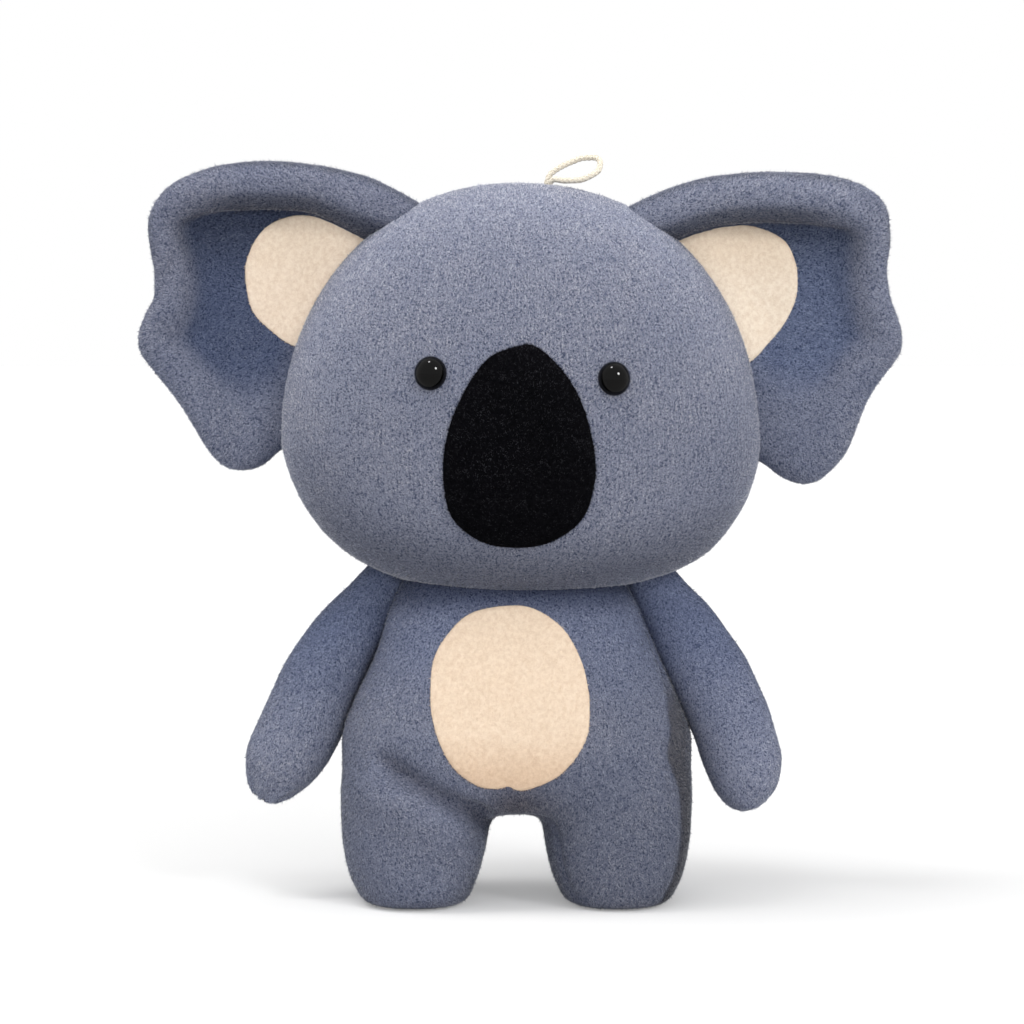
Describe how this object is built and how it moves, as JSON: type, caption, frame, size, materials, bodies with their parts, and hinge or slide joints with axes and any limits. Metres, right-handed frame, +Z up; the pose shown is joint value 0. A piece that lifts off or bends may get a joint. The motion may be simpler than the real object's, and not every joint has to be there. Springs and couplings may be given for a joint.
{
  "type": "plush koala",
  "caption": "Standing soft toy koala with a large head, rolled round ears, a padded oval nose, domed eyes, a belly patch and a thin hanging loop.",
  "frame": {"origin": "centre of the toy's extents in X and Y, on the plane that its feet stand on", "axes": "+Z up, -Y the way the face looks, +X the toy's own left side"},
  "size_m": [0.254, 0.1116, 0.2484],
  "materials": {
    "plush_blue": "short plush",
    "plush_cream": "short felt",
    "plush_black": "short plush",
    "eye_black": "gloss",
    "washer_white": "matt",
    "filling_white": "loose fibre",
    "cord_cream": "braided"
  },
  "bodies": {
    "torso": {"body_front_panel": "plush_blue", "body_back_panel": "plush_blue", "body_stuffing": "filling_white", "belly_patch": "plush_cream"},
    "head": {"head_front_panel": "plush_blue", "head_back_panel": "plush_blue", "head_stuffing": "filling_white", "nose_cover": "plush_black", "nose_wadding": "filling_white", "eye_left": "eye_black", "eye_right": "eye_black", "eye_washer_left": "washer_white", "eye_washer_right": "washer_white", "hanging_loop": "cord_cream"},
    "arm_left": {"arm_left_front_panel": "plush_blue", "arm_left_back_panel": "plush_blue", "arm_left_stuffing": "filling_white"},
    "arm_right": {"arm_right_front_panel": "plush_blue", "arm_right_back_panel": "plush_blue", "arm_right_stuffing": "filling_white"},
    "ear_left": {"ear_left_front_panel": "plush_blue", "ear_left_back_panel": "plush_blue", "ear_left_wadding": "filling_white", "inner_ear_left": "plush_cream"},
    "ear_right": {"ear_right_front_panel": "plush_blue", "ear_right_back_panel": "plush_blue", "ear_right_wadding": "filling_white", "inner_ear_right": "plush_cream"}
  },
  "joints": [
    {"name": "neck_turn", "type": "hinge", "parent": "torso", "child": "head", "pos_m": [0, 0.0038, 0.1065], "axis": [0, 0, 1], "range_deg": [-20, 20], "stiffness_Nm_per_rad": 0.05},
    {"name": "arm_left_swing", "type": "hinge", "parent": "torso", "child": "arm_left", "pos_m": [0.0452, 0, 0.0955], "axis": [0.9171, 0, 0.3987], "range_deg": [-40, 30], "stiffness_Nm_per_rad": 0.02},
    {"name": "arm_right_swing", "type": "hinge", "parent": "torso", "child": "arm_right", "pos_m": [-0.0452, 0, 0.0955], "axis": [0.9171, 0, -0.3987], "range_deg": [-40, 30], "stiffness_Nm_per_rad": 0.02},
    {"name": "ear_left_fold", "type": "hinge", "parent": "head", "child": "ear_left", "pos_m": [0.062, 0.0045, 0.1914], "axis": [0.4633, 0, -0.8862], "range_deg": [-8, 12], "stiffness_Nm_per_rad": 0.02},
    {"name": "ear_right_fold", "type": "hinge", "parent": "head", "child": "ear_right", "pos_m": [-0.062, 0.0045, 0.1949], "axis": [0.4633, 0, 0.8862], "range_deg": [-8, 12], "stiffness_Nm_per_rad": 0.02}
  ]
}
